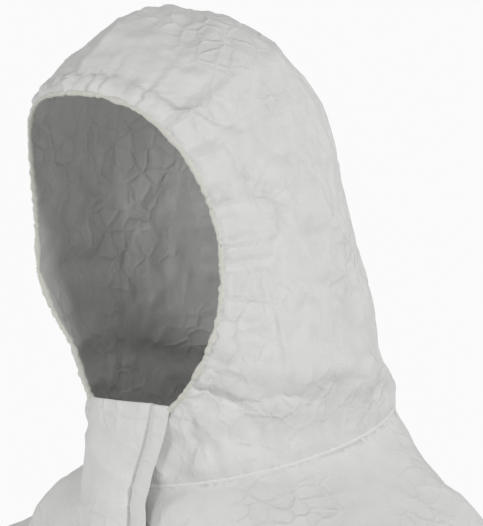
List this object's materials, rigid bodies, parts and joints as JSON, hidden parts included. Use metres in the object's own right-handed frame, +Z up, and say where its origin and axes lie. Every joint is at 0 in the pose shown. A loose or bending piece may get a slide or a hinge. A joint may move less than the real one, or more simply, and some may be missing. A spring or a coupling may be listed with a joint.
{
  "type": "chemical protective suit",
  "caption": "Hooded one-piece coverall of thin white nonwoven cloth, with an elasticated face opening, a long zip under a storm flap, and elasticated waist, cuffs and ankles.",
  "frame": {"origin": "centre of the neck seam, where the suit rests on the wearer's shoulders", "axes": "+Z up, -Y the way the wearer faces, +X the wearer's left"},
  "size_m": [0.7344, 0.275, 1.767],
  "materials": {
    "cloth": "matte nonwoven",
    "hem_cloth": "matte nonwoven, overlocked",
    "flap_cloth": "matte nonwoven, two layers",
    "seam_allowance": "matte, overlocked",
    "elastic": "woven elastic",
    "label": "smooth woven tape",
    "zip_tape": "woven tape",
    "zip_plastic": "moulded"
  },
  "bodies": {
    "torso": {"front_left_panel": "cloth", "front_right_panel": "cloth", "back_left_panel": "cloth", "back_right_panel": "cloth", "crotch_gusset": "cloth", "neck_seam": "seam_allowance", "neck_label": "label", "waist_elastic": "elastic", "ankle_hem_left": "hem_cloth", "ankle_hem_right": "hem_cloth", "ankle_elastic_left": "elastic", "ankle_elastic_right": "elastic", "zip_tape_left": "zip_tape", "zip_tape_right": "zip_tape", "zip_coil_left": "zip_plastic", "zip_coil_right": "zip_plastic", "zip_top_stop_left": "zip_plastic", "zip_top_stop_right": "zip_plastic", "zip_bottom_stop": "zip_plastic"},
    "hood": {"hood_left_panel": "cloth", "hood_right_panel": "cloth", "face_hem": "hem_cloth", "face_elastic": "elastic", "crown_seam": "seam_allowance"},
    "storm_flap": {"storm_flap": "flap_cloth"},
    "zip_slider": {"zip_slider": "zip_plastic"},
    "zip_puller": {"zip_puller": "zip_plastic"},
    "sleeve_left": {"sleeve_left": "cloth", "cuff_hem_left": "hem_cloth", "cuff_elastic_left": "elastic"},
    "sleeve_right": {"sleeve_right": "cloth", "cuff_hem_right": "hem_cloth", "cuff_elastic_right": "elastic"}
  },
  "joints": [
    {"name": "hood_fold", "type": "hinge", "parent": "torso", "child": "hood", "pos_m": [0, 0.095, 0.0254], "axis": [-1, 0, 0], "range_deg": [0, 110]},
    {"name": "flap_open", "type": "hinge", "parent": "torso", "child": "storm_flap", "pos_m": [-0.032, -0.0967, 0.0092], "axis": [0, -0.0549, -0.9985], "range_deg": [0, 150]},
    {"name": "zip_slide", "type": "slide", "parent": "torso", "child": "zip_slider", "axis": [0, -0.0549, -0.9985], "range_m": [0, 0.69]},
    {"name": "puller_swing", "type": "hinge", "parent": "zip_slider", "child": "zip_puller", "pos_m": [0, -0.09759, 0.00043], "axis": [-1, 0, 0], "range_deg": [0, 20]},
    {"name": "sleeve_left_swing", "type": "hinge", "parent": "torso", "child": "sleeve_left", "pos_m": [0.19, 0, -0.148], "axis": [-0.9781, 0, 0.2079], "range_deg": [-30, 90]},
    {"name": "sleeve_right_swing", "type": "hinge", "parent": "torso", "child": "sleeve_right", "pos_m": [-0.19, 0, -0.148], "axis": [-0.9781, 0, -0.2079], "range_deg": [-30, 90]}
  ]
}
